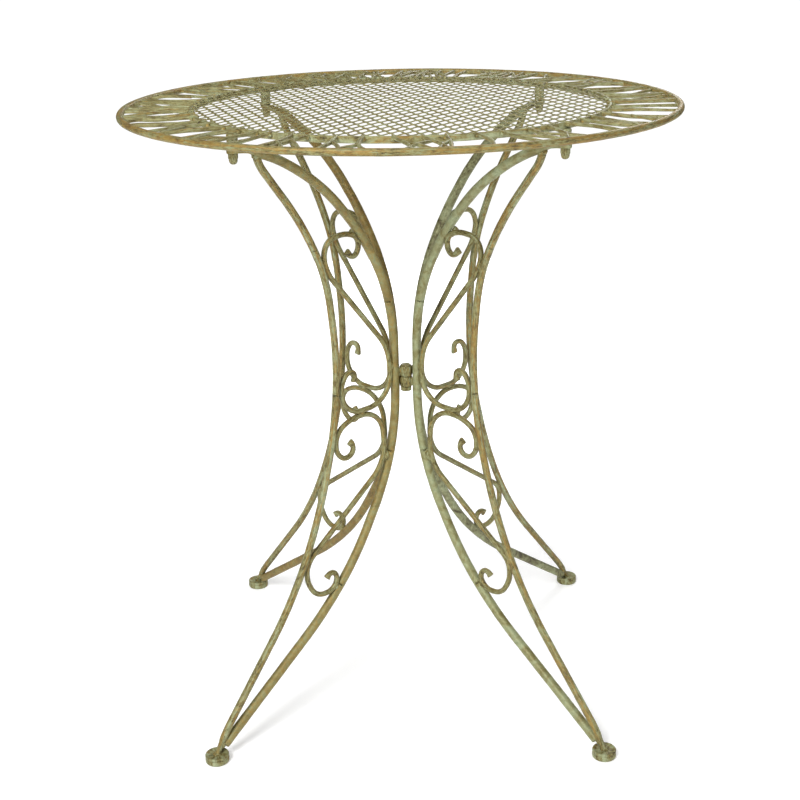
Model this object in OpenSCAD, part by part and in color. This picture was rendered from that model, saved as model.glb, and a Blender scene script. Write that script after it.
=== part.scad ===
// Folding wrought-iron bistro table. Two crossed rod frames turn on a centre pivot, and a round
// top with an expanded-metal sheet is held on the frames by four studs with cap nuts.
// The origin is on the floor, on the pivot axis. +Z is up and -Y is the front.

/* [Table] */
// Overall height of the table
table_height = 745; // [725:1:765]
// Diameter of the round top over its rim rod
top_diameter = 650; // [635:1:665]

/* [Rods] */
// Diameter of the leg bars, the thick inner rods of the base
leg_rod = 10.8; // [10:0.1:11]
// Diameter of the brace bars, the thin outer rods of the base
brace_rod = 8.6; // [8.2:0.1:9]
// Diameter of the rod in the scrolls
scroll_rod = 6.5; // [6.2:0.1:6.8]
// Diameter of the rod in the rim of the top
rim_rod = 8; // [7:0.5:9]
// Diameter of the twig rods between the hoop and the rim
twig_rod = 4.4; // [3.8:0.2:5]

/* [Top] */
// Distance from the outside of the hoop to the outside of the rim
border_width = 81; // [76:1:86]
// Thickness of the hoop's strip, which stands on edge
hoop_strip = 3; // [2.5:0.5:4]
// Height of the hoop's strip
hoop_height = 9; // [8:0.5:10]
// Thickness of the expanded-metal sheet
sheet_thickness = 1.6; // [1.2:0.2:2.4]
// Width of one strand of the sheet
strand_width = 3; // [2.4:0.2:4]
// Length of one mesh of the sheet, from knuckle to knuckle
mesh_length = 40; // [38:1:48]
// Width of one mesh of the sheet, from strand crossing to strand crossing
mesh_width = 20; // [19:0.5:24]
// Turn of the sheet's rows, counted from the front edge of the table and seen from above
mesh_turn = -8; // [-15:1:15]

/* [Pivot, fixings and feet] */
// Distance that each frame's two legs stand to either side of their common centre plane
frame_offset = 5.7; // [5.6:0.1:5.8]
// Outer diameter of the two pivot knuckles
knuckle_diameter = 15.6; // [14.6:0.2:16]
// Diameter of the pivot pin
pin_diameter = 8; // [7:0.2:8.4]
// Nominal thread size of the studs that hold the top
stud_diameter = 6; // [5:0.5:6]
// Diameter of the round feet
foot_diameter = 28.5; // [25:0.5:30]
// Height of the round feet
foot_height = 10; // [9.5:0.5:11]

/* [Hidden] */
leg_names = ["front_left", "front_right", "rear_left", "rear_right"];
leg_azimuths = [225, 315, 135, 45];
// Which way each leg is shifted from its centre plane: the main frame is -1, the swing frame 1
leg_sides = [-1, 1, 1, -1];
main_legs = [0, 3];
swing_legs = [1, 2];
leg_rods = ["leg_bar", "brace_bar", "upper_scroll", "lower_scroll", "foot"];
$fn = 96;

verdigris = [0.60, 0.65, 0.52];
olive = [0.56, 0.55, 0.38];
rust = [0.55, 0.42, 0.26];
steel = [0.62, 0.60, 0.55];

// The outlines below are drawn for the standard table and follow its height and width
standard_height = 745;
standard_diameter = 650;
rise = table_height / standard_height;
spread = top_diameter / standard_diameter;

// Outlines of the bent rods, as [distance from the pivot axis, height]. Every corner is bent
// as gently as its two sides allow.
leg_bar_outline = [[229, 716], [176, 699], [118, 661], [64, 600], [29, 538], [14.2, 478],
    [13.6, 350], [35, 275], [88, 187], [146, 128], [308, 17]];
brace_bar_outline = [[211, 706], [208, 697], [154, 627], [119.5, 557], [107.5, 453], [116, 366],
    [145, 262], [193, 165], [311, 27], [321, 8]];
upper_scroll_outline = [[87, 580], [77, 570], [67, 581], [70, 596], [88, 602.5], [114, 600],
    [123.5, 583], [117, 559], [22.3, 446], [22.3, 398], [44, 378.6], [84, 378.6], [102.5, 396],
    [102.5, 420], [93, 433], [80, 431], [82, 419]];
lower_scroll_outline = [[92, 343], [83, 332], [99, 321], [115, 334], [114, 360], [90, 372.6],
    [58, 372.6], [37, 354], [33.5, 300], [168, 206], [170.5, 182], [156, 156], [129.5, 154.5],
    [119, 169.5], [130, 183], [138, 175]];

// Centre of the pivot between the two knuckles
pivot_height = 407 * rise;
knuckle_height = 13;
knuckle_gap = 0.5;
// Clearances: a running fit for what turns or slides, and a loose one for a bolt hole
running_clearance = 0.05;
bolt_clearance = 0.3;
// How far welded pieces run into each other
weld_depth = 0.4;
// How far out in its own plane a leg bar passes the pivot, and its distance from the pivot axis
waist_outward = 14 * spread;
waist_radius = norm([waist_outward, frame_offset]);
pin_head_diameter = 13;
pin_head_height = 2;
nut_height = 5;
nut_corners = 15;

foot_radius = 321 * spread;

rim_radius = (top_diameter - rim_rod) / 2;
rim_level = table_height - rim_rod / 2;
hoop_radius = top_diameter / 2 - border_width;
hoop_middle = hoop_radius - hoop_strip / 2;
hoop_bottom = table_height - hoop_height;
sheet_bottom = table_height - 3.6;

// The flattened tab on top of each leg bar, which the top is bolted to
tab_top = table_height - 25;
tab_thickness = 4;
tab_width = 14;
tab_length = 24;
boss_diameter = 12;
// How far a stud hangs below the top of its tab, and how far it is screwed into its boss
stud_reach = 14;
thread_depth = 12;
cap_nut_height = 12;
cap_nut_width = 10;

// Heading in degrees of the line from one outline point to the next
function heading(a, b) = atan2(b.y - a.y, b.x - a.x);

// Turn in degrees at a corner, between -180 and 180
function turn_at(points, i) =
    let (turn = heading(points[i], points[i + 1]) - heading(points[i - 1], points[i]))
    turn > 180 ? turn - 360 : turn < -180 ? turn + 360 : turn;

// Length of each side that a corner's bend takes up. End sides have only one bend to serve.
function bend_reach(points, i) =
    let (before = norm(points[i] - points[i - 1]), after = norm(points[i + 1] - points[i]))
    min(before * (i == 1 ? 1 : 0.5), after * (i == len(points) - 2 ? 1 : 0.5));

function unit(angle) = [cos(angle), sin(angle)];

function fit_to_table(outline) = [for (p = outline) [p.x * spread, p.y * rise]];

// Stations along a bent rod, each [point, heading]. A bend gets one for about every 20 degrees,
// and two bends that meet without a straight stretch share one.
function rod_stations(points) =
    let (last = len(points) - 1, bend_step = 20, shortest_straight = 0.5)
    [
        [points[0], heading(points[0], points[1])],
        for (i = [1 : last - 1])
            let (
                turn = turn_at(points, i),
                reach = bend_reach(points, i),
                radius = reach / tan(abs(turn) / 2),
                way = heading(points[i - 1], points[i]),
                side = sign(turn),
                centre = points[i] - reach * unit(way) + side * radius * unit(way + 90),
                taken = reach + (i == 1 ? 0 : bend_reach(points, i - 1)),
                straight = norm(points[i] - points[i - 1]) - taken,
                steps = ceil(abs(turn) / bend_step)
            )
            for (step = [straight > shortest_straight ? 0 : 1 : steps])
                let (along = way + turn * step / steps)
                [centre - side * radius * unit(along + 90), along],
        if (norm(points[last] - points[last - 1]) > bend_reach(points, last - 1) + shortest_straight)
            [points[last], heading(points[last - 1], points[last])]
    ];

// A round rod in the XY plane through stations, with as many flat sides as asked for and the
// same cross-section area as a true circle
module rod_through(stations, diameter, sides) {
    radius = diameter / 2 * sqrt(2 * PI / sides / sin(360 / sides));
    rings = len(stations);
    corners = [for (station = stations, side = [0 : sides - 1])
        let (angle = (side + 0.5) * 360 / sides)
        let (flat = station[0] + radius * cos(angle) * unit(station[1] + 90))
        [flat.x, flat.y, radius * sin(angle)]];
    walls = [for (ring = [0 : rings - 2], side = [0 : sides - 1])
        let (next = (side + 1) % sides, here = ring * sides, ahead = here + sides)
        each [
            [here + side, ahead + side, here + next],
            [here + next, ahead + side, ahead + next]
        ]];
    start_cap = [for (side = [0 : sides - 1]) side];
    end_cap = [for (side = [sides - 1 : -1 : 0]) (rings - 1) * sides + side];
    polyhedron(points = corners, faces = concat([start_cap], walls, [end_cap]));
}

module bent_rod(outline, diameter, sides) {
    rod_through(rod_stations(outline), diameter, sides);
}

// Puts what is drawn outwards along +X into the plane of one leg
module at_leg(leg) {
    rotate(leg_azimuths[leg])
        translate([0, leg_sides[leg] * frame_offset, 0])
            children();
}

// Stands a rod that is drawn in the XY plane up in the plane of one leg
module leg_rod_shape(leg, outline, diameter, sides) {
    at_leg(leg)
        rotate([90, 0, 0])
            bent_rod(fit_to_table(outline), diameter, sides);
}

module fixing_tab() {
    difference() {
        translate([0, 0, tab_top - tab_thickness])
            linear_extrude(tab_thickness)
                union() {
                    translate([hoop_middle, 0])
                        circle(d = tab_width);
                    translate([hoop_middle - tab_length, -tab_width / 2])
                        square([tab_length, tab_width]);
                }
        translate([hoop_middle, 0, tab_top - 2 * tab_thickness])
            cylinder(h = 3 * tab_thickness, d = stud_diameter + 2 * bolt_clearance);
    }
}

module leg_bar(leg) {
    color(olive) {
        leg_rod_shape(leg, leg_bar_outline, leg_rod, 12);
        at_leg(leg)
            fixing_tab();
    }
}

module brace_bar(leg) {
    color(verdigris)
        leg_rod_shape(leg, brace_bar_outline, brace_rod, 10);
}

module upper_scroll(leg) {
    color(rust)
        leg_rod_shape(leg, upper_scroll_outline, scroll_rod, 8);
}

module lower_scroll(leg) {
    color(verdigris)
        leg_rod_shape(leg, lower_scroll_outline, scroll_rod, 8);
}

// A round foot with a dished top and a groove round its side
module foot(leg) {
    edge = 1;
    dish_radius = foot_diameter / 2 - 3;
    dish_depth = 1;
    groove = 0.8;
    groove_level = 0.6 * foot_height;
    color(rust)
        at_leg(leg)
            translate([foot_radius, 0, 0])
                rotate_extrude()
                    polygon([
                        [0, 0],
                        [foot_diameter / 2 - edge, 0],
                        [foot_diameter / 2, edge],
                        [foot_diameter / 2, groove_level - groove],
                        [foot_diameter / 2 - groove, groove_level],
                        [foot_diameter / 2, groove_level + groove],
                        [foot_diameter / 2, foot_height - edge],
                        [foot_diameter / 2 - edge, foot_height],
                        [dish_radius + dish_depth, foot_height],
                        [dish_radius, foot_height - dish_depth],
                        [0, foot_height - dish_depth]
                    ]);
}

// A knuckle with a lug to each of its frame's two leg bars
module knuckle(leg, level, bore) {
    lug_width = 6;
    lug_margin = 1;
    lug_reach = waist_radius - leg_rod / 2 + weld_depth;
    difference() {
        union() {
            translate([0, 0, level])
                cylinder(h = knuckle_height, d = knuckle_diameter);
            rotate(leg_azimuths[leg] + leg_sides[leg] * atan2(frame_offset, waist_outward))
                translate([-lug_reach, -lug_width / 2, level + lug_margin])
                    cube([2 * lug_reach, lug_width, knuckle_height - 2 * lug_margin]);
        }
        translate([0, 0, level - 1])
            cylinder(h = knuckle_height + 2, d = bore);
    }
}

module upper_knuckle() {
    color(olive)
        knuckle(main_legs[0], pivot_height + knuckle_gap / 2, pin_diameter);
}

module lower_knuckle() {
    level = pivot_height - knuckle_gap / 2 - knuckle_height;
    color(verdigris)
        knuckle(swing_legs[0], level, pin_diameter + 2 * running_clearance);
}

// A pin with a round head on top of the upper knuckle
module pivot_pin() {
    head_level = pivot_height + knuckle_gap / 2 + knuckle_height;
    shank_bottom = pivot_height - knuckle_gap / 2 - knuckle_height - knuckle_gap - nut_height;
    head_radius = pin_head_diameter / 2;
    dome_radius = (head_radius * head_radius + pin_head_height * pin_head_height) / 2 / pin_head_height;
    color(rust) {
        translate([0, 0, shank_bottom])
            cylinder(h = head_level - shank_bottom + pin_head_height / 2, d = pin_diameter);
        difference() {
            translate([0, 0, head_level + pin_head_height - dome_radius])
                sphere(r = dome_radius);
            translate([-2 * dome_radius, -2 * dome_radius, head_level - 4 * dome_radius])
                cube(4 * dome_radius);
        }
    }
}

module pivot_nut() {
    level = pivot_height - knuckle_gap / 2 - knuckle_height - knuckle_gap - nut_height;
    color(rust)
        translate([0, 0, level])
            difference() {
                cylinder(h = nut_height, d = nut_corners, $fn = 6);
                translate([0, 0, -1])
                    cylinder(h = nut_height + 2, d = pin_diameter);
            }
}

// A domed hexagon nut, screwed up against the underside of a tab
module cap_nut() {
    hexagon_height = 6;
    corner_diameter = cap_nut_width / cos(30);
    difference() {
        union() {
            translate([0, 0, -hexagon_height])
                cylinder(h = hexagon_height, d = corner_diameter, $fn = 6);
            translate([0, 0, -hexagon_height])
                rotate_extrude()
                    intersection() {
                        circle(r = cap_nut_width / 2 + 0.9);
                        translate([0, -(cap_nut_height - hexagon_height)])
                            square([cap_nut_width / 2 - 0.3, cap_nut_height - hexagon_height]);
                    }
        }
        translate([0, 0, -stud_reach + tab_thickness - 0.5])
            cylinder(h = stud_reach, d = stud_diameter + 2 * running_clearance);
    }
}

module cap_nuts(legs) {
    color(rust)
        for (leg = legs)
            at_leg(leg)
                translate([hoop_middle, 0, tab_top - tab_thickness])
                    cap_nut();
}

// Round bosses welded under the hoop, threaded for the studs
module hanger_bosses() {
    boss_height = hoop_bottom - tab_top + weld_depth;
    color(olive)
        for (leg = [0 : 3])
            at_leg(leg)
                translate([hoop_middle, 0, tab_top])
                    difference() {
                        cylinder(h = boss_height, d = boss_diameter);
                        translate([0, 0, -1])
                            cylinder(h = thread_depth + 1, d = stud_diameter);
                    }
}

module mounting_studs() {
    color(steel)
        for (leg = [0 : 3])
            at_leg(leg)
                translate([hoop_middle, 0, tab_top - stud_reach])
                    cylinder(h = stud_reach + thread_depth, d = stud_diameter);
}

module rim_ring() {
    color(rust)
        translate([0, 0, rim_level])
            rotate_extrude($fn = 180)
                translate([rim_radius, 0])
                    circle(d = rim_rod);
}

module inner_hoop() {
    color(verdigris)
        translate([0, 0, hoop_bottom])
            difference() {
                cylinder(h = hoop_height, r = hoop_radius, $fn = 180);
                translate([0, 0, -1])
                    cylinder(h = hoop_height + 2, r = hoop_radius - hoop_strip, $fn = 180);
            }
}

// Round sheet of expanded metal. Each strand runs from one knuckle, where it meets the next row,
// to the knuckle half a mesh further on.
module mesh_panel() {
    sheet_radius = hoop_radius - hoop_strip + weld_depth;
    step = [mesh_width, mesh_length] / 2;
    knuckle_width = 0.6;
    knuckle_depth = strand_width / cos(atan2(step.y, step.x));
    rows = ceil(sheet_radius / step.y);
    columns = ceil(sheet_radius / step.x);
    color(rust)
        translate([0, 0, sheet_bottom])
            rotate(mesh_turn)
                linear_extrude(sheet_thickness)
                    intersection() {
                        circle(r = sheet_radius, $fn = 120);
                        for (row = [-rows : rows - 1], column = [-columns : columns - 1])
                            if (norm([column * step.x, row * step.y]) < sheet_radius + mesh_length)
                                hull()
                                    for (end = [0, 1])
                                        translate([
                                            (column + end) * step.x,
                                            (row + abs(row + column + end) % 2) * step.y
                                        ])
                                            square([knuckle_width, knuckle_depth], center = true);
                    }
}

// A point of the border, given as part of the way from the hoop to the rim and an angle
function border_point(part, angle) =
    let (inside = hoop_radius - weld_depth, outside = rim_radius - rim_rod / 2 + weld_depth)
    (inside + part * (outside - inside)) * [cos(angle), sin(angle)];

// A twig through three points of the border, hardly bent at the middle one
module twig(points, diameter) {
    sides = 6;
    path = [for (p = points) border_point(p[0], p[1])];
    rod_through([
        [path[0], heading(path[0], path[1])],
        [path[1], heading(path[0], path[2])],
        [path[2], heading(path[1], path[2])]
    ], diameter, sides);
}

// Four forked twigs, which carry the rim on the hoop, on a twelfth of the border. A fork leaves
// its twig at the twig's middle point.
module twig_group() {
    branch_rod = 0.9 * twig_rod;
    stems = [
        [[0, 1], [0.45, 3], [1, 2.5]],
        [[0, 9.5], [0.5, 7.5], [1, 8.5]],
        [[0, 16], [0.4, 15.5], [1, 18.5]],
        [[0, 21.5], [0.5, 24], [1, 24]]
    ];
    fork_ends = [
        [[0.75, 5], [1, 5.8]],
        [[0.75, 10], [1, 12]],
        [[0.7, 14.6], [1, 15]],
        [[0.75, 26.8], [1, 28.2]]
    ];
    for (stem = stems)
        twig(stem, twig_rod);
    for (i = [0 : len(stems) - 1])
        twig(concat([stems[i][1]], fork_ends[i]), branch_rod);
}

module twig_rods() {
    repeats = 12;
    color(olive)
        translate([0, 0, rim_level])
            for (i = [0 : repeats - 1])
                rotate(i * 360 / repeats)
                    twig_group();
}

for (leg = [0 : 3]) {
    leg_bar(leg);
    brace_bar(leg);
    upper_scroll(leg);
    lower_scroll(leg);
    foot(leg);
}
upper_knuckle();
lower_knuckle();
pivot_pin();
pivot_nut();
cap_nuts(main_legs);  // cap_nuts_main
cap_nuts(swing_legs);  // cap_nuts_swing
mounting_studs();
hanger_bosses();
rim_ring();
inner_hoop();
mesh_panel();
twig_rods();
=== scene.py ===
"""Looks of the folding bistro table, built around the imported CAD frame.

Metres, +Z up, -Y to the front. Every visible piece is a mesh made here, in the place of its CAD
node and riding on that node's body.
"""
import math
import random

import bmesh
import bpy
from mathutils import Matrix, Vector, noise


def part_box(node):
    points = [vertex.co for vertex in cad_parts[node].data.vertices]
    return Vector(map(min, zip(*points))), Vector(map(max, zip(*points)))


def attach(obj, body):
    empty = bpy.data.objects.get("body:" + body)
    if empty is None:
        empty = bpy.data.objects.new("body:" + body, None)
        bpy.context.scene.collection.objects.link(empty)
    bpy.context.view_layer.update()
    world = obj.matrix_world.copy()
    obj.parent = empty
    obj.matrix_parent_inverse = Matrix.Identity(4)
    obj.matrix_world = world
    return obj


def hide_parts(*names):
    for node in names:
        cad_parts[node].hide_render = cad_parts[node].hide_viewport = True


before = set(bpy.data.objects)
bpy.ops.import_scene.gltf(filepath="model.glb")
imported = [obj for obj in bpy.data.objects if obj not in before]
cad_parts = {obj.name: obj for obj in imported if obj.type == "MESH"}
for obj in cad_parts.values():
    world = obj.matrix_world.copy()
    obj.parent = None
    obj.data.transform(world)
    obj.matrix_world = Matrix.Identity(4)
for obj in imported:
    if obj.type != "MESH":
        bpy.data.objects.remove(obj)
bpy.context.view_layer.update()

MM = 0.001
STANDARD_HEIGHT = 745 * MM
STANDARD_DIAMETER = 650 * MM

# ---------------------------------------------------------------- sizes from the frame

rim_low, rim_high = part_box("rim_ring")
hoop_low, hoop_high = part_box("inner_hoop")
rise = rim_high.z / STANDARD_HEIGHT
spread = (rim_high.x - rim_low.x) / STANDARD_DIAMETER

TOP_LEVEL = rim_high.z
RIM_ROD = rim_high.z - rim_low.z
RIM_RADIUS = rim_high.x - RIM_ROD / 2
RIM_LEVEL = rim_high.z - RIM_ROD / 2
HOOP_RADIUS = hoop_high.x
HOOP_STRIP = 3 * MM
HOOP_BOTTOM = hoop_low.z
HOOP_MIDDLE = HOOP_RADIUS - HOOP_STRIP / 2
SHEET_LEVEL = sum(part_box("mesh_panel")[i].z for i in (0, 1)) / 2
TAB_THICKNESS = 4 * MM
TAB_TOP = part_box("hanger_bosses")[0].z
STUD_LOW, STUD_HIGH = (corner.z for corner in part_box("mounting_studs"))

LEGS = {
    "front_left": (225, "main_frame"),
    "front_right": (315, "swing_frame"),
    "rear_left": (135, "swing_frame"),
    "rear_right": (45, "main_frame"),
}
LEG_ROD = 10.8 * MM
BRACE_ROD = 8.6 * MM
SCROLL_ROD = 6.5 * MM

# Outlines of the bent rods of one leg, as distance from the pivot axis and height, in mm.
# They are the outlines that the CAD rods follow. Each corner is bent as gently as it can be.
OUTLINES = {
    "leg_bar": [(229, 716), (176, 699), (118, 661), (64, 600), (29, 538), (14.2, 478),
                (13.6, 350), (35, 275), (88, 187), (146, 128), (308, 17)],
    "brace_bar": [(211, 706), (208, 697), (154, 627), (119.5, 557), (107.5, 453), (116, 366),
                  (145, 262), (193, 165), (311, 27), (321, 8)],
    "upper_scroll": [(87, 580), (77, 570), (67, 581), (70, 596), (88, 602.5), (114, 600),
                     (123.5, 583), (117, 559), (22.3, 446), (22.3, 398), (44, 378.6),
                     (84, 378.6), (102.5, 396), (102.5, 420), (93, 433), (80, 431), (82, 419)],
    "lower_scroll": [(92, 343), (83, 332), (99, 321), (115, 334), (114, 360), (90, 372.6),
                     (58, 372.6), (37, 354), (33.5, 300), (168, 206), (170.5, 182), (156, 156),
                     (129.5, 154.5), (119, 169.5), (130, 183), (138, 175)],
}


def unit(degrees):
    angle = math.radians(degrees)
    return Vector((math.cos(angle), math.sin(angle)))


def heading(a, b):
    return math.degrees(math.atan2(b.y - a.y, b.x - a.x))


def bent_path(points, step=2.5 * MM):
    """Points along an outline in a plane, with a round bend at every corner."""
    points = [Vector(p) for p in points]
    last = len(points) - 1
    sides = [(points[i + 1] - points[i]).length for i in range(last)]

    def reach(i):
        return min(sides[i - 1] * (1 if i == 1 else 0.5), sides[i] * (1 if i == last - 1 else 0.5))

    path = [points[0]]
    for i in range(1, last):
        way = heading(points[i - 1], points[i])
        turn = (heading(points[i], points[i + 1]) - way + 180) % 360 - 180
        radius = reach(i) / math.tan(math.radians(abs(turn)) / 2)
        side = math.copysign(1, turn)
        start = points[i] - reach(i) * unit(way)
        centre = start + side * radius * unit(way + 90)
        count = max(3, math.ceil(math.radians(abs(turn)) * radius / step))
        path += straight_run(path[-1], start, step)
        path += [centre - side * radius * unit(way + turn * k / count + 90)
                 for k in range(1, count + 1)]
    return path + straight_run(path[-1], points[last], step)


def straight_run(a, b, step):
    """Points after a, up to and including b."""
    count = math.ceil((b - a).length / step)
    return [a.lerp(b, k / count) for k in range(1, count + 1)]


# ---------------------------------------------------------------- mesh code

GRAIN_SIZE = 10 * MM


def make_object(name, vertices, faces, grain, material):
    """grain holds, for each vertex, where it lies round and along its rod, for the material."""
    mesh = bpy.data.meshes.new(name)
    mesh.from_pydata([tuple(v) for v in vertices], [], faces)
    attribute = mesh.attributes.new("grain", "FLOAT_VECTOR", "POINT")
    attribute.data.foreach_set("vector", [c for g in grain for c in g])
    mesh.update()
    mesh.shade_smooth()
    mesh.materials.append(material)
    obj = bpy.data.objects.new(name, mesh)
    bpy.context.scene.collection.objects.link(obj)
    return obj


class Shape:
    """Vertices and faces of one piece, gathered from several closed parts."""

    def __init__(self):
        self.vertices = []
        self.faces = []
        self.grain = []
        self.grain_start = 0.0

    def add(self, vertices, faces, grain=None):
        first = len(self.vertices)
        self.vertices += vertices
        self.faces += [tuple(first + i for i in face) for face in faces]
        self.grain += grain or [(v.x / GRAIN_SIZE, v.y / GRAIN_SIZE, v.z / GRAIN_SIZE)
                                for v in vertices]

    def add_rings(self, rings, closed=False, tip_start=None, tip_end=None):
        """Joins rings of points, one after the other, and closes the ends with a tip point."""
        sides = len(rings[0])
        vertices = [v for ring in rings for v in ring]
        count = len(rings)
        along = self.grain_start
        grain = []
        for r, ring in enumerate(rings):
            if r:
                along += (ring[0] - rings[r - 1][0]).length
            grain += [(math.cos(2 * math.pi * k / sides), math.sin(2 * math.pi * k / sides),
                       along / GRAIN_SIZE) for k in range(sides)]
        self.grain_start = along + 0.37
        faces = []
        for r in range(count if closed else count - 1):
            here, ahead = r * sides, (r + 1) % count * sides
            for k in range(sides):
                nxt = (k + 1) % sides
                faces.append((here + k, here + nxt, ahead + nxt, ahead + k))
        if not closed:
            start = len(vertices)
            vertices += [tip_start, tip_end]
            grain += [(0, 0, grain[0][2]), (0, 0, grain[-1][2])]
            end_ring = (count - 1) * sides
            for k in range(sides):
                nxt = (k + 1) % sides
                faces.append((start, nxt, k))
                faces.append((start + 1, end_ring + k, end_ring + nxt))
        self.add(vertices, faces, grain)

    def build(self, name, material):
        return make_object(name, self.vertices, self.faces, self.grain, material)


def roughened(ring_centre, point, amount, seed):
    """Moves a surface point in or out a little, as forging leaves it."""
    outward = (point - ring_centre)
    if outward.length < 1e-7:
        return point
    coarse = noise.noise(point * 90 + Vector((seed, 0, 0)))
    fine = noise.noise(point * 260 + Vector((0, seed, 0)))
    return point + outward.normalized() * amount * (0.7 * coarse + 0.3 * fine)


def superellipse(angle, power):
    c, s = math.cos(angle), math.sin(angle)
    return (math.copysign(abs(c) ** (2 / power), c), math.copysign(abs(s) ** (2 / power), s))


# The rings that round off a rod's end: how wide each is, and how far out it lies, as a part of the
# end's own size. The tip lies a little beyond the last.
CAP_RINGS = ((0.97, 0.25), (0.88, 0.55), (0.72, 0.82), (0.45, 1.0))
CAP_TIP = 1.02


def sweep(shape, path, section, sides=20, up=Vector((0, 0, 1)), dome=0.35, rough=0.12 * MM,
          seed=0.0, closed=False):
    """A rod along a 3-D path. section(part) gives half width, half height and squareness, where
    part runs from 0 to 1 along the rod; the width lies across up."""
    count = len(path)
    rings = []
    for i, point in enumerate(path):
        before = path[i - 1] if (i > 0 or closed) else path[i]
        after = path[(i + 1) % count] if (i < count - 1 or closed) else path[i]
        ahead = (after - before).normalized()
        across = ahead.cross(up).normalized()
        above = across.cross(ahead).normalized()
        half_width, half_height, power = section(i / max(1, count - 1))
        ring = []
        for k in range(sides):
            x, y = superellipse(2 * math.pi * (k + 0.5) / sides, power)
            ring.append(roughened(point, point + across * x * half_width + above * y * half_height,
                                  rough, seed))
        rings.append(ring)
    if closed:
        shape.add_rings(rings, closed=True)
        return

    def cap(ring, centre, outward, radius):
        return [[centre + (v - centre) * fold + outward * radius * dome * bulge for v in ring]
                for fold, bulge in CAP_RINGS]

    first_way = (path[0] - path[1]).normalized()
    last_way = (path[-1] - path[-2]).normalized()
    first_radius = min(section(0)[:2])
    last_radius = min(section(1)[:2])
    first_caps = cap(rings[0], path[0], first_way, first_radius)
    last_caps = cap(rings[-1], path[-1], last_way, last_radius)
    shape.add_rings(first_caps[::-1] + rings + last_caps,
                    tip_start=path[0] + first_way * first_radius * dome * CAP_TIP,
                    tip_end=path[-1] + last_way * last_radius * dome * CAP_TIP)


def lathe(shape, profile, centre, sides=64, outline=None, rough=0.0, seed=0.0):
    """Turns a profile of (radius, height) points round a vertical axis. The profile starts and
    ends on the axis. outline(angle, radius) may change a radius, for a hexagon."""
    rings = []
    for radius, height in profile[1:-1]:
        ring_centre = centre + Vector((0, 0, height))
        ring = []
        for k in range(sides):
            angle = 2 * math.pi * k / sides
            r = outline(angle, radius) if outline else radius
            point = ring_centre + Vector((math.cos(angle), math.sin(angle), 0)) * r
            ring.append(roughened(ring_centre, point, rough, seed))
        rings.append(ring)
    shape.add_rings(rings, tip_start=centre + Vector((0, 0, profile[0][1])),
                    tip_end=centre + Vector((0, 0, profile[-1][1])))


def blob(shape, centre, along, size, seed, detail=3):
    """A lump of weld metal: a long rounded lump with an uneven surface."""
    ball = bmesh.new()
    bmesh.ops.create_icosphere(ball, subdivisions=detail, radius=1)
    turn = Vector((1, 0, 0)).rotation_difference(along).to_matrix()
    vertices = []
    for v in ball.verts:
        lump = 1 + 0.22 * noise.noise(v.co * 2.1 + Vector((seed, seed, 0)))
        vertices.append(centre + turn @ Vector((v.co[i] * size[i] * lump for i in range(3))))
    index = {v: i for i, v in enumerate(ball.verts)}
    faces = [tuple(index[v] for v in f.verts) for f in ball.faces]
    ball.free()
    shape.add(vertices, faces)


# ---------------------------------------------------------------- materials

class Nodes:
    """Short calls for building a node material."""

    def __init__(self, name):
        self.material = bpy.data.materials.new(name)
        self.material.use_nodes = True
        self.tree = self.material.node_tree
        self.shader = self.tree.nodes["Principled BSDF"]

    def node(self, kind, inputs=None, **settings):
        made = self.tree.nodes.new(kind)
        for key, value in settings.items():
            setattr(made, key, value)
        for key, value in (inputs or {}).items():
            if isinstance(value, bpy.types.NodeSocket):
                self.tree.links.new(value, made.inputs[key])
            else:
                made.inputs[key].default_value = value
        return made

    def noise(self, coordinate, scale, detail=4.0, rough=0.6, distortion=0.0):
        return self.node("ShaderNodeTexNoise", {
            "Vector": coordinate, "Scale": scale, "Detail": detail, "Roughness": rough,
            "Distortion": distortion}).outputs["Fac"]

    def ramp(self, fac, stops):
        made = self.node("ShaderNodeValToRGB", {"Fac": fac})
        elements = made.color_ramp.elements
        while len(elements) < len(stops):
            elements.new(0.5)
        for element, (position, colour) in zip(elements, stops):
            element.position = position
            element.color = (*colour, 1) if len(colour) == 3 else colour
        return made.outputs["Color"]

    def mask(self, fac, low, high):
        return self.node("ShaderNodeMapRange", {
            "Value": fac, "From Min": low, "From Max": high}).outputs["Result"]

    def mix(self, fac, a, b, blend="MIX"):
        made = self.node("ShaderNodeMix", data_type="RGBA", blend_type=blend)
        for socket, value in (("Factor", fac), ("A", a), ("B", b)):
            target = [s for s in made.inputs if s.name == socket and s.enabled][0]
            if isinstance(value, bpy.types.NodeSocket):
                self.tree.links.new(value, target)
            else:
                target.default_value = value if isinstance(value, float) else (*value, 1)
        return [s for s in made.outputs if s.enabled][0]

    def maths(self, operation, a, b):
        return self.node("ShaderNodeMath", {0: a, 1: b}, operation=operation).outputs[0]


VERDIGRIS_PALE = (0.40, 0.44, 0.27)
VERDIGRIS = (0.23, 0.265, 0.15)
SAGE = (0.235, 0.225, 0.098)
OLIVE = (0.145, 0.118, 0.034)
UMBER = (0.042, 0.033, 0.013)
GOLD_RUST = (0.31, 0.205, 0.04)
BROWN_RUST = (0.17, 0.095, 0.025)


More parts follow.
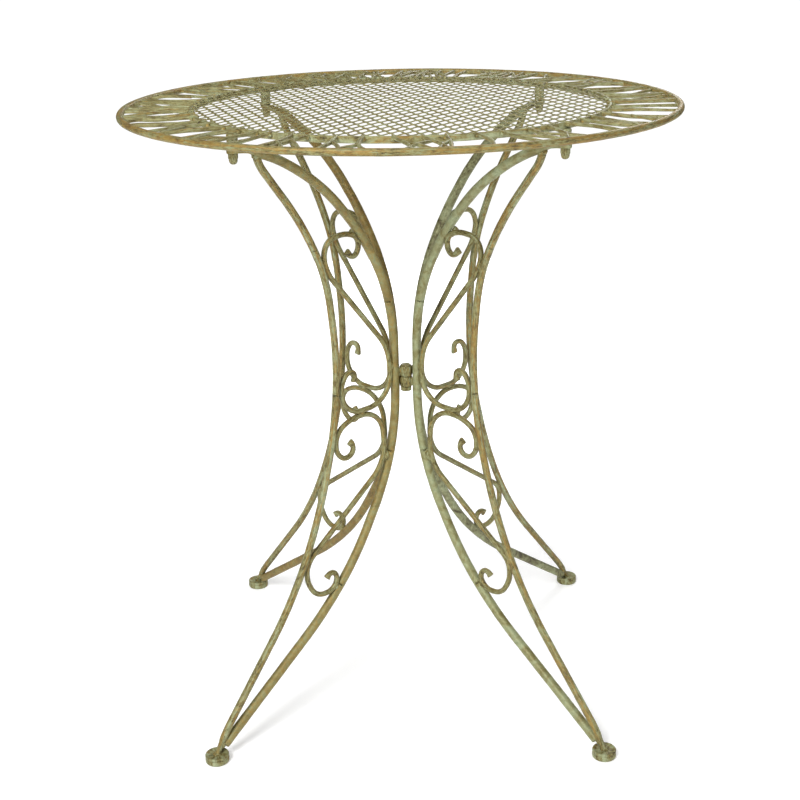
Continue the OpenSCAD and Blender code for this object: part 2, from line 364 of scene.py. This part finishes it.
def patina(name, seed, green, rust, scale=1.0, bump=1.0, dark=0.5):
    """Weathered iron: olive ground, streaks of verdigris and of golden and brown rust along the
    rod, dark pits. green, rust and dark are how far each spreads, from 0 to 1."""
    n = Nodes(name)
    coordinate = n.node("ShaderNodeTexCoord").outputs["Object"]
    grain = n.node("ShaderNodeAttribute", attribute_name="grain").outputs["Vector"]
    place = n.node("ShaderNodeMapping", {
        "Vector": coordinate, "Location": (seed, seed * 0.37, -seed * 0.61)}).outputs["Vector"]

    def streaks(shift, along, size, detail, rough):
        at = n.node("ShaderNodeMapping", {
            "Vector": grain, "Location": (seed + shift, shift, seed * 1.7 + shift),
            "Scale": (1, 1, along)}).outputs["Vector"]
        return n.noise(at, size, detail, rough, 0.35)

    long_streaks = streaks(0.0, 0.10, 1.1 * scale, 4, 0.60)
    rust_streaks = streaks(5.3, 0.16, 1.3 * scale, 5, 0.66)
    fine_streaks = streaks(9.1, 0.45, 3.2 * scale, 5, 0.70)
    patches = n.noise(place, 60 * scale, 6, 0.68, 0.8)
    flakes = n.noise(place, 210 * scale, 5, 0.7, 0.3)
    specks = n.noise(place, 900 * scale, 3, 0.65)

    mixed = n.maths("ADD", n.maths("MULTIPLY", patches, 0.35),
                    n.maths("MULTIPLY", fine_streaks, 0.65))
    ground = n.ramp(mixed, [(0.39, UMBER), (0.46, OLIVE), (0.54, SAGE), (0.63, VERDIGRIS)])
    green_spread = n.maths("ADD", n.maths("MULTIPLY", long_streaks, 0.65),
                           n.maths("MULTIPLY", patches, 0.35))
    green_mask = n.mask(green_spread, 0.60 - 0.20 * green, 0.68 - 0.16 * green)
    green_colour = n.mix(n.mask(flakes, 0.38, 0.66), VERDIGRIS, VERDIGRIS_PALE)
    colour = n.mix(n.maths("MULTIPLY", green_mask, 0.8), ground, green_colour)
    rust_spread = n.maths("ADD", n.maths("MULTIPLY", rust_streaks, 0.7),
                          n.maths("MULTIPLY", flakes, 0.3))
    rust_mask = n.mask(rust_spread, 0.62 - 0.20 * rust, 0.68 - 0.17 * rust)
    rust_colour = n.mix(n.mask(mixed, 0.40, 0.60), BROWN_RUST, GOLD_RUST)
    colour = n.mix(n.maths("MULTIPLY", rust_mask, 0.85), colour, rust_colour)
    pits = n.mask(n.maths("ADD", n.maths("MULTIPLY", flakes, 0.6),
                          n.maths("MULTIPLY", fine_streaks, 0.4)),
                  0.40 + 0.06 * dark, 0.34 + 0.06 * dark)
    colour = n.mix(n.maths("MULTIPLY", pits, 0.75), colour, UMBER)
    colour = n.mix(n.maths("MULTIPLY", n.mask(specks, 0.60, 0.70), 0.25), colour, VERDIGRIS_PALE)
    n.tree.links.new(colour, n.shader.inputs["Base Color"])
    roughness = n.node("ShaderNodeMapRange", {
        "Value": patches, "From Min": 0.3, "From Max": 0.7, "To Min": 0.42, "To Max": 0.68})
    n.tree.links.new(roughness.outputs["Result"], n.shader.inputs["Roughness"])
    n.shader.inputs["Metallic"].default_value = 0.20
    n.shader.inputs["Specular IOR Level"].default_value = 0.35
    height = n.maths("ADD", n.maths("MULTIPLY", patches, 0.5),
                     n.maths("ADD", n.maths("MULTIPLY", flakes, 0.4),
                             n.maths("MULTIPLY", specks, 0.1)))
    bumped = n.node("ShaderNodeBump", {
        "Strength": 0.8 * bump, "Distance": 0.0012, "Height": height})
    n.tree.links.new(bumped.outputs["Normal"], n.shader.inputs["Normal"])
    return n.material


LEG_FINISH = {name: patina(f"patina_leg_{name}", 2.0 + 3.1 * i, 0.48, 0.66)
              for i, name in enumerate(LEGS)}
SCROLL_FINISH = {name: patina(f"patina_scroll_{name}", 17.0 + 2.3 * i, 0.30, 0.50)
                 for i, name in enumerate(LEGS)}
RIM_FINISH = patina("patina_rim", 41.0, 0.15, 0.80)
HOOP_FINISH = patina("patina_hoop", 47.0, 0.60, 0.45, dark=0.7)
SHEET_FINISH = patina("patina_sheet", 53.0, 0.20, 0.35, bump=0.6, dark=0.8)
TWIG_FINISH = patina("patina_twigs", 59.0, 0.35, 0.45)
FOOT_FINISH = patina("patina_feet", 61.0, 0.55, 0.30)
WELD_FINISH = patina("patina_welds", 67.0, 0.30, 0.60, scale=1.5, bump=1.4)
FASTENER_FINISH = patina("patina_fasteners", 71.0, 0.35, 0.45, scale=1.6)


# ---------------------------------------------------------------- legs

class Leg:
    """Where one leg stands, read from the frame."""

    def __init__(self, name, azimuth, body):
        self.name = name
        self.body = body
        self.out = unit(azimuth).to_3d()
        self.side = Vector((-self.out.y, self.out.x, 0))
        low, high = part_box(f"foot_{name}")
        centre = (low + high) / 2
        self.offset = centre.dot(self.side)
        self.foot = Vector((centre.x, centre.y, low.z))
        self.foot_radius = (high.x - low.x) / 2
        self.foot_height = high.z - low.z

    def place(self, point):
        return self.out * point[0] + self.side * self.offset + Vector((0, 0, point[1]))


# Where the leg bar bends level into its tab, and how far the tab runs past its bolt
TAB_BEND = 224 * MM
TAB_OVERHANG = 7 * MM
BOLT_HOLE_RADIUS = 3.3 * MM


def outline_path(rod, step=2.5 * MM):
    """The flat path of one kind of rod, in metres."""
    points = [(r * spread * MM, z * rise * MM) for r, z in OUTLINES[rod]]
    if rod == "leg_bar":
        tab_level = TAB_TOP - TAB_THICKNESS / 2
        points[0] = (TAB_BEND * spread, tab_level)
        points.insert(0, (HOOP_MIDDLE + TAB_OVERHANG, tab_level))
    return bent_path(points, step)


PATHS = {rod: outline_path(rod) for rod in OUTLINES}


def path_length(path):
    return sum((b - a).length for a, b in zip(path, path[1:]))


def leg_bar_section(length):
    """Round for most of its length, and beaten out flat into a tab at the top."""
    tab_half_width, tab_end, flat_end, round_start = 7 * MM, 7 * MM, 27 * MM, 48 * MM
    radius = LEG_ROD / 2

    def section(part):
        at = part * length
        half_width = tab_half_width
        if at < tab_end:
            half_width = math.sqrt(max(0.05, 1 - (1 - at / tab_end) ** 2)) * tab_half_width
        if at < flat_end:
            return TAB_THICKNESS / 2, half_width, 5
        if at > round_start:
            return radius, radius, 2.2
        t = (at - flat_end) / (round_start - flat_end)
        t = t * t * (3 - 2 * t)
        return (TAB_THICKNESS / 2 + (radius - TAB_THICKNESS / 2) * t,
                tab_half_width + (radius - tab_half_width) * t, 5 - 2.8 * t)

    return section


def scroll_section(length, radius):
    """Round, with both tips beaten a little flat, so that they widen."""
    tip = 9 * MM

    def section(part):
        from_tip = min(part, 1 - part) * length
        t = max(0.0, 1 - from_tip / tip)
        t = t * t * (3 - 2 * t)
        return radius * (1 + 0.38 * t), radius * (1 - 0.22 * t), 2.15 + 1.6 * t

    return section


def brace_section(length):
    """Round, and drawn down to a thinner stem above the foot."""
    stem_length, stem_start, stem_radius = 15 * MM, 24 * MM, 3.2 * MM
    radius = BRACE_ROD / 2

    def section(part):
        t = min(1.0, max(0.0, ((1 - part) * length - stem_length) / (stem_start - stem_length)))
        t = t * t * (3 - 2 * t)
        here = stem_radius + (radius - stem_radius) * t
        return here, here, 2.15

    return section


def bore(obj, centre, radius, height):
    """Cuts an upright round hole through a piece."""
    cutter = bmesh.new()
    bmesh.ops.create_cone(cutter, cap_ends=True, segments=48, radius1=radius, radius2=radius,
                          depth=height, matrix=Matrix.Translation(centre))
    mesh = bpy.data.meshes.new("cutter")
    cutter.to_mesh(mesh)
    cutter.free()
    tool = bpy.data.objects.new("cutter", mesh)
    bpy.context.scene.collection.objects.link(tool)
    cut = obj.modifiers.new("bore", "BOOLEAN")
    cut.operation = "DIFFERENCE"
    cut.solver = "EXACT"
    cut.object = tool
    depsgraph = bpy.context.evaluated_depsgraph_get()
    result = bpy.data.meshes.new_from_object(obj.evaluated_get(depsgraph))
    obj.modifiers.clear()
    obj.data = result
    bpy.data.objects.remove(tool)


# Rods that meet, and the height in mm near which their weld is
WELDS = [
    ("leg_bar", "brace_bar", 703, 4.5), ("leg_bar", "upper_scroll", 600, 3.4),
    ("leg_bar", "upper_scroll", 428, 3.4), ("leg_bar", "lower_scroll", 312, 4.4),
    ("leg_bar", "lower_scroll", 158, 3.4), ("brace_bar", "upper_scroll", 567, 3.0),
    ("brace_bar", "lower_scroll", 355, 3.0), ("brace_bar", "lower_scroll", 206, 3.0),
    ("upper_scroll", "lower_scroll", 375, 3.0), ("brace_bar", "leg_bar", 24, 4.0),
]
ROD_RADIUS = {"leg_bar": LEG_ROD / 2, "brace_bar": BRACE_ROD / 2,
              "upper_scroll": SCROLL_ROD / 2, "lower_scroll": SCROLL_ROD / 2}


def weld_spot(first, second, level):
    """The point between two rods where they come closest near a height, and the way along."""
    reach = 28 * MM
    near = [i for i, p in enumerate(PATHS[first]) if abs(p.y - level * rise * MM) < reach]
    best = min(((PATHS[first][i] - q).length, i, j) for i in near
               for j, q in enumerate(PATHS[second]) if abs(q.y - level * rise * MM) < reach)
    _, i, j = best
    a, b = PATHS[first][i], PATHS[second][j]
    across = (b - a).normalized()
    spot = (a + across * ROD_RADIUS[first] + b - across * ROD_RADIUS[second]) / 2
    return spot, Vector((-across.y, across.x))


def build_leg(leg, index):
    name = leg.name
    for rod, radius in ROD_RADIUS.items():
        path = [leg.place(p) for p in PATHS[rod]]
        shape = Shape()
        if rod == "leg_bar":
            section = leg_bar_section(path_length(PATHS[rod]))
        elif "scroll" in rod:
            section = scroll_section(path_length(PATHS[rod]), radius)
        else:
            section = brace_section(path_length(PATHS[rod]))
        sweep(shape, path, section, sides=24 if rod == "leg_bar" else 18, up=leg.side,
              rough=radius * 0.045, seed=7.3 * index + len(rod), dome=0.3)
        finish = SCROLL_FINISH[name] if "scroll" in rod else LEG_FINISH[name]
        piece = shape.build(f"{rod}_{name}_rod", finish)
        if rod == "leg_bar":
            tab_middle = leg.place((HOOP_MIDDLE, TAB_TOP - TAB_THICKNESS / 2))
            bore(piece, tab_middle, BOLT_HOLE_RADIUS, 20 * MM)
        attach(piece, leg.body)
        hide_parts(f"{rod}_{name}")

    welds = Shape()
    for k, (first, second, level, size) in enumerate(WELDS):
        spot, along = weld_spot(first, second, level)
        way = leg.out * along.x + Vector((0, 0, along.y))
        size = size * MM
        blob(welds, leg.place(spot), way, (size * 1.7, size, size), 3.1 * k + index)
    foot_top = leg.foot + Vector((0, 0, leg.foot_height - 0.6 * MM))
    blob(welds, foot_top, Vector((1, 0, 0)), (5.2 * MM, 5.0 * MM, 1.8 * MM), 9.0 + index)
    piece = welds.build(f"welds_{name}", WELD_FINISH)
    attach(piece, leg.body)


def build_foot(leg, index):
    """A round pad in two layers, with a dished top."""
    r, h = leg.foot_radius, leg.foot_height
    profile = [(0, 0), (r - 1.6 * MM, 0), (r - 0.6 * MM, 0.3 * MM), (r - 0.1 * MM, 1.1 * MM),
               (r, 2.5 * MM), (r, 4.6 * MM), (r - 0.25 * MM, 5.3 * MM), (r - 0.9 * MM, 5.9 * MM),
               (r - 0.9 * MM, 6.2 * MM), (r - 0.3 * MM, 6.7 * MM), (r - 0.05 * MM, 7.3 * MM),
               (r - 0.1 * MM, 8.9 * MM), (r - 0.5 * MM, 9.7 * MM), (r - 1.3 * MM, h),
               (r - 2.2 * MM, h - 0.15 * MM), (r - 3.0 * MM, h - 0.8 * MM),
               (r - 4.2 * MM, h - 1.1 * MM), (r / 2, h - 1.1 * MM), (0, h - 1.0 * MM)]
    shape = Shape()
    lathe(shape, profile, leg.foot, rough=0.12 * MM, seed=5.0 * index)
    piece = shape.build(f"foot_{leg.name}_pad", FOOT_FINISH)
    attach(piece, leg.body)
    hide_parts(f"foot_{leg.name}")


legs = [Leg(name, azimuth, body) for name, (azimuth, body) in LEGS.items()]
for index, leg in enumerate(legs):
    build_leg(leg, index)
    build_foot(leg, index)


# ---------------------------------------------------------------- pivot and fixings

def hexagon(width):
    """A limit on a turned radius that gives six flats, that width across."""
    def outline(angle, radius):
        from_flat = (angle + math.pi / 6) % (math.pi / 3) - math.pi / 6
        return min(radius, width / 2 / math.cos(from_flat))
    return outline


def build_knuckle(node, body, arms):
    low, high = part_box(node)
    height = high.z - low.z
    radius, hole, arm_reach = 7.8 * MM, 4.03 * MM, 8.6 * MM
    edge = 0.8 * MM
    shape = Shape()
    rings = []
    for r, z in ((hole, edge), (hole + 0.4 * MM, 0), (radius - edge, 0), (radius, edge),
                 (radius + 0.1 * MM, height / 2), (radius, height - edge),
                 (radius - edge, height), (hole + 0.4 * MM, height), (hole, height - edge)):
        rings.append([roughened(Vector((0, 0, low.z + z)), Vector((
            r * math.cos(2 * math.pi * k / 48), r * math.sin(2 * math.pi * k / 48), low.z + z)),
            0.15 * MM if r >= radius else 0, 3.0) for k in range(48)])
    shape.add_rings(rings, closed=True)
    middle = Vector((0, 0, low.z + height / 2))
    for k, arm in enumerate(arms):
        blob(shape, middle + arm * arm_reach, Vector((0, 0, 1)),
             (height * 0.42, 2.6 * MM, 3.2 * MM), 4.0 * k)
    piece = shape.build(f"{node}_barrel", WELD_FINISH)
    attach(piece, body)
    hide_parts(node)


def waist_directions(body):
    """The ways from the pivot axis to the leg bars of one frame."""
    waist = min(PATHS["leg_bar"], key=lambda p: p.x).x
    return [(leg.out * waist + leg.side * leg.offset).normalized() for leg in legs
            if leg.body == body]


build_knuckle("upper_knuckle", "main_frame", waist_directions("main_frame"))
build_knuckle("lower_knuckle", "swing_frame", waist_directions("swing_frame"))


def build_turned(name, node, body, profile, centres, outline=None, material=FASTENER_FINISH,
                 rough=0.06 * MM, sides=48):
    shape = Shape()
    for k, centre in enumerate(centres):
        lathe(shape, profile, centre, sides=sides, outline=outline, rough=rough, seed=2.0 * k)
    piece = shape.build(name, material)
    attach(piece, body)
    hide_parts(node)
    return piece


pin_low, pin_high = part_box("pivot_pin")
head_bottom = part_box("upper_knuckle")[1].z - pin_low.z
head_top = pin_high.z - pin_low.z
pin_profile = [(0, 0), (3.2 * MM, 0), (3.9 * MM, 0.8 * MM), (3.95 * MM, head_bottom),
               (6.3 * MM, head_bottom), (6.5 * MM, head_bottom + 0.4 * MM),
               (6.3 * MM, head_top - 0.8 * MM), (5.4 * MM, head_top - 0.15 * MM),
               (4.6 * MM, head_top), (3.6 * MM, head_top - 0.5 * MM), (0, head_top - 0.6 * MM)]
build_turned("pivot_pin_rivet", "pivot_pin", "main_frame", pin_profile,
             [Vector((0, 0, pin_low.z))])

nut_low, nut_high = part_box("pivot_nut")
nut_height = nut_high.z - nut_low.z
nut_profile = [(0, 0.2 * MM), (3.9 * MM, 0.2 * MM), (4.4 * MM, 0), (6.3 * MM, 0),
               (7.1 * MM, 0.5 * MM), (7.5 * MM, 1.0 * MM), (7.5 * MM, nut_height - 1.0 * MM),
               (7.1 * MM, nut_height - 0.5 * MM), (6.3 * MM, nut_height), (0, nut_height)]
build_turned("pivot_nut_hexagon", "pivot_nut", "main_frame", nut_profile,
             [Vector((0, 0, nut_low.z))], outline=hexagon(13 * MM))

cap_nut_profile = [
    (0, -10.4 * MM), (2.9 * MM, -10.4 * MM), (3.05 * MM, -10.1 * MM), (3.05 * MM, -0.5 * MM),
    (3.5 * MM, 0), (4.7 * MM, 0), (5.2 * MM, -0.25 * MM), (5.75 * MM, -0.7 * MM),
    (5.77 * MM, -5.2 * MM), (5.3 * MM, -5.8 * MM), (4.75 * MM, -6.1 * MM), (4.7 * MM, -7.4 * MM),
    (4.45 * MM, -8.8 * MM), (3.9 * MM, -10.2 * MM), (2.9 * MM, -11.3 * MM),
    (1.5 * MM, -11.9 * MM), (0, -12 * MM)]
for node, body in (("cap_nuts_main", "main_frame"), ("cap_nuts_swing", "swing_frame")):
    seats = [leg.place((HOOP_MIDDLE, TAB_TOP - TAB_THICKNESS)) for leg in legs
             if leg.body == body]
    build_turned(f"{node}_domed", node, body, cap_nut_profile, seats, outline=hexagon(10 * MM))


def threaded_rod(shape, low, high, radius, pitch=1.0 * MM, sides=24):
    """An upright rod with a screw thread."""
    per_turn, depth = 6, 0.55 * MM
    count = round((high.z - low.z) / pitch * per_turn)
    rings = []
    for i in range(count + 1):
        height = (high.z - low.z) * i / count
        ring = []
        for k in range(sides):
            phase = (height / pitch - k / sides) % 1
            r = radius - depth * abs(2 * phase - 1)
            angle = 2 * math.pi * k / sides
            ring.append(low + Vector((r * math.cos(angle), r * math.sin(angle), height)))
        rings.append(ring)
    shape.add_rings(rings, tip_start=low.copy(), tip_end=high.copy())


studs = Shape()
bosses = Shape()
boss_low, boss_high = (corner.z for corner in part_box("hanger_bosses"))
boss_height = boss_high - boss_low
boss_profile = [(0, 0.3 * MM), (3.0 * MM, 0.3 * MM), (3.4 * MM, 0), (5.2 * MM, 0),
                (5.9 * MM, 0.7 * MM), (6.0 * MM, 2 * MM), (6.0 * MM, boss_height * 0.8),
                (6.3 * MM, boss_height * 0.92), (5.5 * MM, boss_height), (0, boss_height)]
for k, leg in enumerate(legs):
    centre = leg.place((HOOP_MIDDLE, 0))
    threaded_rod(studs, centre + Vector((0, 0, STUD_LOW)), centre + Vector((0, 0, STUD_HIGH)),
                 2.98 * MM)
    lathe(bosses, boss_profile, centre + Vector((0, 0, boss_low)), rough=0.15 * MM, seed=k * 3.0,
          sides=40)
piece = studs.build("mounting_studs_threaded", FASTENER_FINISH)
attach(piece, "top")
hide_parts("mounting_studs")
piece = bosses.build("hanger_bosses_turned", HOOP_FINISH)
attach(piece, "top")
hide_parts("hanger_bosses")


# ---------------------------------------------------------------- top

def circle_path(radius, level, count, wobble=0.0, seed=0.0):
    path = []
    for i in range(count):
        way = unit(360 * i / count).to_3d()
        uneven = wobble * noise.noise(way * 3.0 + Vector((seed, 0, 0)))
        lift = wobble * 0.5 * noise.noise(way * 4.0 + Vector((0, seed, 0)))
        path.append(way * (radius + uneven) + Vector((0, 0, level + lift)))
    return path


rim = Shape()
sweep(rim, circle_path(RIM_RADIUS, RIM_LEVEL, 420, 0.3 * MM, 1.0),
      lambda part: (RIM_ROD / 2 * 0.985, RIM_ROD / 2 * 0.985, 2.1), sides=28, closed=True,
      rough=0.2 * MM, seed=11.0)
piece = rim.build("rim_ring_rod", RIM_FINISH)
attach(piece, "top")
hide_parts("rim_ring")

hoop = Shape()
hoop_half_height = (TOP_LEVEL - HOOP_BOTTOM - 1.4 * MM) / 2
sweep(hoop, circle_path(HOOP_MIDDLE, HOOP_BOTTOM + hoop_half_height, 360, 0.25 * MM, 5.0),
      lambda part: (HOOP_STRIP / 2, hoop_half_height, 5), sides=28, closed=True,
      rough=0.15 * MM, seed=21.0)
piece = hoop.build("inner_hoop_strip", HOOP_FINISH)
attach(piece, "top")
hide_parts("inner_hoop")

# Expanded metal: each strand zigzags across the table and meets its neighbours at knuckles
MESH_WIDTH = 15.3 * MM
MESH_LENGTH = 28.9 * MM
STRAND_WIDTH = 3.2 * MM
STRAND_THICKNESS = 1.2 * MM
STRAND_TILT = math.radians(-12)
MESH_TURN = -8


def strand_stations(row, reach):
    """Points of one strand before clipping, in the sheet's own axes."""
    step, depth = MESH_WIDTH / 2, MESH_LENGTH / 2
    knuckle = 1.5 * MM
    inset = STRAND_WIDTH * 0.42
    last = math.ceil(reach / step)
    points = []
    for i in range(-last, last + 1):
        up = (i + row) % 2
        y = row * depth + (depth - inset if up else inset)
        for x in (i * step - knuckle, i * step + knuckle):
            points.append(Vector((x, y, 0)))
    return points


def clipped_runs(points, radius):
    """The stretches of a line of points that lie inside a circle, cut at the circle."""
    runs, run = [], []
    for a, b in zip(points, points[1:]):
        inside_a, inside_b = a.length < radius, b.length < radius
        if inside_a and not run:
            run = [a]
        if inside_a and inside_b:
            run.append(b)
        elif inside_a != inside_b:
            low, high = (a, b) if inside_a else (b, a)
            for _ in range(12):
                middle = (low + high) / 2
                low, high = (middle, high) if middle.length < radius else (low, middle)
            if inside_a:
                runs.append(run + [low])
                run = []
            else:
                run = [low, b]
    if len(run) > 1:
        runs.append(run)
    return [r for r in runs if (r[0] - r[-1]).length > 3 * MM]


def strand(shape, points):
    """A strand of flat section, tilted so that its front edge is the higher."""
    turn = Matrix.Rotation(math.radians(MESH_TURN), 3, "Z")
    rings = []
    count = len(points)
    for i, point in enumerate(points):
        before, after = points[max(0, i - 1)], points[min(count - 1, i + 1)]
        ahead = (after - before).normalized()
        across = ahead.cross(Vector((0, 0, 1)))
        stretch = 1.0 if abs(ahead.y) > 0.4 else 1.12
        width_way = across * math.cos(STRAND_TILT) - Vector((0, 0, math.sin(STRAND_TILT)))
        thick_way = width_way.cross(ahead).normalized()
        wobble = 0.25 * MM * noise.noise(point * 40)
        centre = turn @ point + Vector((0, 0, SHEET_LEVEL + wobble))
        ring = []
        for x, y in ((-1, -0.55), (-0.8, -1), (0.8, -1), (1, -0.55), (1, 0.55), (0.8, 1),
                     (-0.8, 1), (-1, 0.55)):
            ring.append(centre + turn @ (width_way * x * STRAND_WIDTH / 2 * stretch
                                         + thick_way * y * STRAND_THICKNESS / 2))
        rings.append(ring)
    shape.add_rings(rings, tip_start=turn @ points[0] + Vector((0, 0, SHEET_LEVEL)),
                    tip_end=turn @ points[-1] + Vector((0, 0, SHEET_LEVEL)))


sheet = Shape()
sheet_radius = HOOP_RADIUS - HOOP_STRIP + 0.8 * MM
row_count = math.ceil(sheet_radius / (MESH_LENGTH / 2))
for row in range(-row_count, row_count):
    for run in clipped_runs(strand_stations(row, sheet_radius), sheet_radius):
        strand(sheet, run)
piece = sheet.build("mesh_panel_strands", SHEET_FINISH)
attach(piece, "top")
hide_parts("mesh_panel")


def border_point(part, angle, lift=0.0):
    """A point of the border: part of the way from the hoop to the rim, at an angle in degrees."""
    inside, outside = HOOP_RADIUS - 0.5 * MM, RIM_RADIUS - RIM_ROD / 2 + 1.5 * MM
    radius = inside + part * (outside - inside)
    return unit(angle).to_3d() * radius + Vector((0, 0, RIM_LEVEL + lift))


def smooth_path(points, per_span=8):
    """A smooth curve through a few points."""
    path = []
    padded = [2 * points[0] - points[1]] + points + [2 * points[-1] - points[-2]]
    for a, b, c, d in zip(padded, padded[1:], padded[2:], padded[3:]):
        for k in range(per_span):
            t = k / per_span
            path.append(0.5 * ((2 * b) + (c - a) * t + (2 * a - 5 * b + 4 * c - d) * t * t
                               + (3 * b - a - 3 * c + d) * t ** 3))
    return path + [points[-1]]


def twig(shape, points, radius, seed):
    path = smooth_path([border_point(*p) for p in points])

    def section(part):
        knot = 1 + 0.10 * math.sin(part * 9 + seed)
        return radius * knot, radius * knot * 0.95, 2.1

    sweep(shape, path, section, sides=12, rough=0.3 * MM, seed=seed, dome=0.4)


KNOT_SIZE = (2.3 * MM, 3.2 * MM, 3.2 * MM)


def knot(shape, point, seed):
    blob(shape, border_point(*point), Vector((0, 0, 1)), KNOT_SIZE, seed, detail=2)


# How far above the middle of the rim the twigs lie where they cross the hoop, whose strip is made a
# little lower than its CAD node for that
OVER_HOOP = 1.1 * MM

# The twigs stand closer together along the back, between these angles in degrees
CROWDED_FROM, CROWDED_TO = 52, 130

twigs = Shape()
draw = random.Random(12)
angle = 0.0
k = 0
while angle < 358:
    crowded = CROWDED_FROM < angle < CROWDED_TO
    lean = draw.uniform(-5.0, 5.0)
    bow = draw.uniform(-1.4, 1.4)
    radius = draw.uniform(1.9, 2.5) * MM
    lift = draw.uniform(-0.8, 0.9) * MM
    twig(twigs, [(-0.07, angle - lean * 0.1, OVER_HOOP), (0, angle, OVER_HOOP),
                 (0.12, angle + lean * 0.1 + bow * 0.4, OVER_HOOP * 0.6),
                 (0.5, angle + lean / 2 + bow, lift), (1, angle + lean, 0)], radius, k)
    knot(twigs, (1.0, angle + lean, 0), k)
    knot(twigs, (0.03, angle, -0.4 * MM), k + 0.5)
    if draw.random() < 0.75:
        fork = draw.uniform(0.2, 0.55)
        spread_out = draw.choice((-1, 1)) * draw.uniform(3.0, 7.0)
        start = angle + lean * fork + bow * 4 * fork * (1 - fork)
        twig(twigs, [(fork, start, 0), ((fork + 1) / 2, start + spread_out * 0.6, lift + 0.6 * MM),
                     (1, start + spread_out, 0)], radius * 0.9, k + 50)
        knot(twigs, (1.0, start + spread_out, 0), k + 0.3)
    angle += draw.uniform(2.0, 3.6) if crowded else draw.uniform(4.0, 8.0)
    k += 1
piece = twigs.build("twig_rods_forked", TWIG_FINISH)
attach(piece, "top")
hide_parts("twig_rods")


# ---------------------------------------------------------------- stage, light and camera

def white_paint(name, albedo, glow):
    n = Nodes(name)
    n.shader.inputs["Base Color"].default_value = (albedo, albedo, albedo, 1)
    n.shader.inputs["Roughness"].default_value = 0.95
    n.shader.inputs["Specular IOR Level"].default_value = 0.1
    n.shader.inputs["Emission Color"].default_value = (1, 1, 1, 1)
    n.shader.inputs["Emission Strength"].default_value = glow
    return n


def build_floor():
    """A pale round floor that glows more towards its edge, so that it melts into the backdrop."""
    radius, floor_level, corners = 2.2, -0.5 * MM, 96
    shape = Shape()
    shape.add([unit(360 * k / corners).to_3d() * radius + Vector((0, 0, floor_level))
               for k in range(corners)], [tuple(range(corners))])
    n = white_paint("floor_paint", 0.75, 0.5)
    coordinate = n.node("ShaderNodeTexCoord").outputs["Object"]
    length = n.node("ShaderNodeVectorMath", {0: coordinate}, operation="LENGTH")
    from_middle = length.outputs["Value"]
    glow = n.node("ShaderNodeMapRange", {
        "Value": from_middle, "From Min": 0.36, "From Max": 1.3, "To Min": 0.34, "To Max": 1.05})
    n.tree.links.new(glow.outputs["Result"], n.shader.inputs["Emission Strength"])
    shape.build("floor", n.material)


def build_backdrop():
    """A glowing white ground and round wall, far away all round the table. They light nothing."""
    radius, top, ground, corners = 8.0, 9.0, -3 * MM, 96
    ways = [unit(360 * k / corners).to_3d() * radius for k in range(corners)]
    shape = Shape()
    shape.add([way + Vector((0, 0, ground)) for way in ways]
              + [way + Vector((0, 0, top)) for way in ways],
              [tuple(range(corners))]
              + [(k, (k + 1) % corners, (k + 1) % corners + corners, k + corners)
                 for k in range(corners)])
    backdrop = shape.build("backdrop", white_paint("backdrop_paint", 0.0, 1.05).material)
    backdrop.visible_diffuse = False
    backdrop.visible_glossy = False
    backdrop.visible_shadow = False


def area_light(name, place, target, size, power):
    light = bpy.data.lights.new(name, "AREA")
    light.shape = "DISK"
    light.size = size
    light.energy = power
    obj = bpy.data.objects.new(name, light)
    obj.location = place
    obj.rotation_euler = (Vector(target) - Vector(place)).to_track_quat("-Z", "Y").to_euler()
    bpy.context.scene.collection.objects.link(obj)


def build_world():
    world = bpy.data.worlds.new("studio")
    bpy.context.scene.world = world
    world.use_nodes = True
    background = world.node_tree.nodes["Background"]
    background.inputs["Color"].default_value = (0.97, 0.98, 1.0, 1)
    background.inputs["Strength"].default_value = 0.20
    bpy.context.scene.view_settings.view_transform = "Standard"


def build_camera():
    """Stands in front of the table and above its top, looking down on it."""
    camera = bpy.data.cameras.new("camera")
    camera.sensor_width = 36
    camera.lens = 61.63
    camera.shift_x = -0.0192
    camera.shift_y = -0.0020
    obj = bpy.data.objects.new("camera", camera)
    bpy.context.scene.collection.objects.link(obj)
    pitch, roll, yaw, turn = (math.radians(a) for a in (20.03, -1.00, 0.45, 0.94))
    right = Vector((math.cos(yaw), -math.sin(yaw), 0))
    level = Vector((math.sin(yaw), math.cos(yaw), 0))
    ahead = level * math.cos(pitch) - Vector((0, 0, math.sin(pitch)))
    above = right.cross(ahead)
    rolled_right = right * math.cos(roll) + above * math.sin(roll)
    rolled_above = -right * math.sin(roll) + above * math.cos(roll)
    axes = Matrix((rolled_right, rolled_above, -ahead)).transposed().to_4x4()
    place = Vector((-0.0014 * spread, -1.615 * spread, 0.965 * rise))
    obj.matrix_world = Matrix.Rotation(turn, 4, "Z") @ Matrix.Translation(place) @ axes
    bpy.context.scene.camera = obj


build_floor()
build_backdrop()
build_world()
area_light("key", (-1.2, -2.4, 2.5), (0, 0, 0.4), 1.3, 125)
area_light("fill", (2.0, -2.0, 1.3), (0, 0, 0.4), 1.2, 22)
area_light("top", (0.3, 0.9, 3.2), (0, 0, 0.6), 1.6, 22)
area_light("back", (0.9, 2.6, 1.9), (0, 0, 0.4), 1.3, 26)
build_camera()
